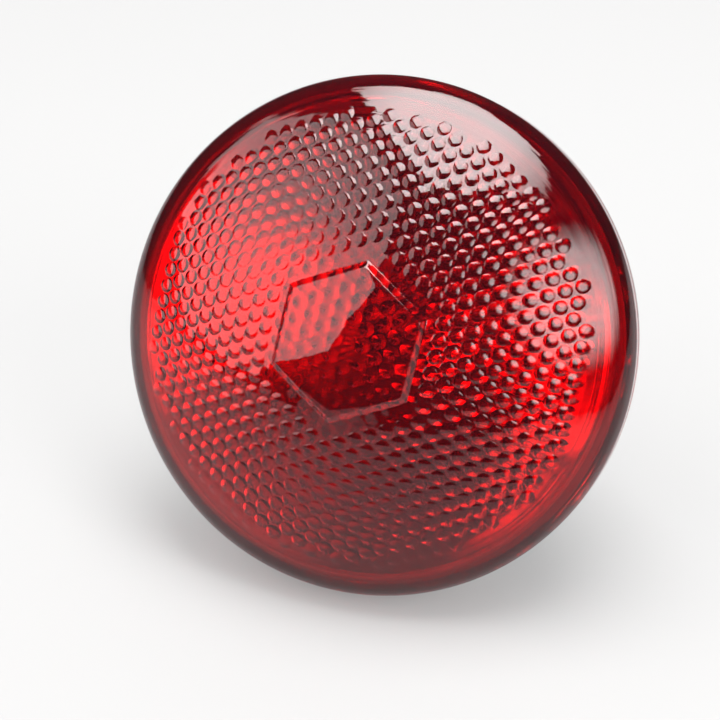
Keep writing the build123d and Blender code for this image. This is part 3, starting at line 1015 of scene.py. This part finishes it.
def camera():
    back = way_to(CAMERA_AZIMUTH, CAMERA_ELEVATION)
    right = Vector((0, 0, 1)).cross(back).normalized()
    data = bpy.data.cameras.new("camera")
    data.lens = CAMERA_LENS
    data.clip_start = 0.01
    made = bpy.data.objects.new("camera", data)
    aside = right * CAMERA_ASIDE.x + back.cross(right) * CAMERA_ASIDE.y
    made.location = lens_middle() + back * CAMERA_DISTANCE + aside
    made.rotation_euler = back.to_track_quat("Z", "Y").to_euler()
    bpy.context.scene.collection.objects.link(made)
    bpy.context.scene.camera = made


def glowing(name, strength, fade, through):
    """A softbox's front, which glows on one side only."""
    f = Finish(name)
    behind = f.node("ShaderNodeNewGeometry", output="Backfacing")
    dimmed = f.radius(f.node("ShaderNodeTexCoord", output="Object")).between(*fade)
    matt = f.node("ShaderNodeLightPath", output="Is Diffuse Ray")
    clear = f.node("ShaderNodeLightPath", output="Is Transmission Ray")
    shown = strength * (1.0 - matt * (1.0 - MATT_SHARE)) * (1.0 - clear * (1.0 - through))
    light = f.node("ShaderNodeEmission", sockets={"Color": SOFTBOX_COLOUR, "Strength": shown})
    dark = f.node("ShaderNodeEmission", sockets={"Strength": 0.0})
    hidden = behind.at_least(dimmed)
    face = f.node("ShaderNodeMixShader", sockets={0: hidden, 1: light, 2: dark})
    f.material.node_tree.links.new(face.socket, f.output.inputs["Surface"])
    return f.material


def softbox(name, bm, place, light):
    """A light panel that the lamp mirrors but the camera doesn't see."""
    panel = in_scene(name, as_mesh(bm, name), glowing(name, **light))
    panel.matrix_world = place
    panel.visible_camera = False


def overhead_softbox():
    """A four-sided panel over the lamp that faces down."""
    bm = bmesh.new()
    bmesh.ops.create_grid(bm, x_segments=1, y_segments=1, size=0.5)
    for vertex, (x, y) in zip(bm.verts, OVERHEAD_CORNERS):
        vertex.co = (x * LIGHT_HEIGHT, y * LIGHT_HEIGHT, 0.0)
    bmesh.ops.recalc_face_normals(bm, faces=bm.faces)
    for face in bm.faces:
        if face.normal.z > 0:
            face.normal_flip()
    place = Matrix.Translation(lens_middle() + Vector((0, 0, LIGHT_HEIGHT)))
    softbox("overhead_softbox", bm, place, OVERHEAD_LIGHT)


def standing_softbox(name, way, apothem, light):
    """An eight-sided panel that faces the lens from an azimuth and an elevation."""
    out = way_to(*way)
    bm = bmesh.new()
    corner = apothem / math.cos(math.radians(22.5))
    turn = Matrix.Rotation(math.radians(22.5), 4, "Z")
    bmesh.ops.create_circle(bm, cap_ends=True, segments=8, radius=corner, matrix=turn)
    facing = (-out).to_track_quat("Z", "Y").to_matrix().to_4x4()
    place = Matrix.Translation(lens_middle() + out * STANDING_DISTANCE) @ facing
    softbox(name, bm, place, light)


def white_table():
    """The white table's top, which glows a little so that its shadows stay soft."""
    f = Finish("white_table")
    place = f.node("ShaderNodeTexCoord", output="Object")
    tone = f.noise(place, 0.4, detail=3.0)
    return f.surface(
        Base_Color=f.mix(tone, (0.243, 0.244, 0.246, 1.0), (0.249, 0.250, 0.252, 1.0)),
        Roughness=0.6,
        Specular_IOR_Level=0.1,
        Emission_Color=(1.0, 1.0, 1.0, 1.0),
        Emission_Strength=TABLE_GLOW,
    )


def floor():
    bm = bmesh.new()
    bmesh.ops.create_circle(bm, cap_ends=True, segments=96, radius=TABLE_RADIUS)
    in_scene("floor", as_mesh(bm, "floor"), white_table())


def room():
    """A room that is dim in the lamp's reflections, fills its shadows, and is pale to the camera."""
    world = bpy.data.worlds.new("room")
    bpy.context.scene.world = world
    world.use_nodes = True
    nodes, links = world.node_tree.nodes, world.node_tree.links
    nodes.clear()
    path = nodes.new("ShaderNodeLightPath")
    shades = []
    for colour, strength in (ROOM_REFLECTED, ROOM_FILL, ROOM_SEEN):
        shade = nodes.new("ShaderNodeBackground")
        shade.inputs["Color"].default_value = (*colour, 1.0)
        shade.inputs["Strength"].default_value = strength
        shades.append(shade.outputs[0])
    shown = shades[0]
    for ray, shade in zip(("Is Diffuse Ray", "Is Camera Ray"), shades[1:]):
        mix = nodes.new("ShaderNodeMixShader")
        links.new(path.outputs[ray], mix.inputs[0])
        links.new(shown, mix.inputs[1])
        links.new(shade, mix.inputs[2])
        shown = mix.outputs[0]
    out = nodes.new("ShaderNodeOutputWorld")
    links.new(shown, out.inputs["Surface"])


def rendering():
    """Enough bounces for light to go in through the lens, round the mirror and out again."""
    scene = bpy.context.scene
    scene.cycles.max_bounces = 24
    scene.cycles.glossy_bounces = 16
    scene.cycles.transmission_bounces = 20
    scene.cycles.sample_clamp_indirect = 12.0
    scene.cycles.blur_glossy = 0.3
    scene.cycles.use_denoising = True
    scene.view_settings.view_transform = "Standard"


camera()
overhead_softbox()
standing_softbox("left_softbox", LEFT_WAY, LEFT_APOTHEM, LEFT_LIGHT)
standing_softbox("right_softbox", RIGHT_WAY, RIGHT_APOTHEM, RIGHT_LIGHT)
floor()
room()
rendering()
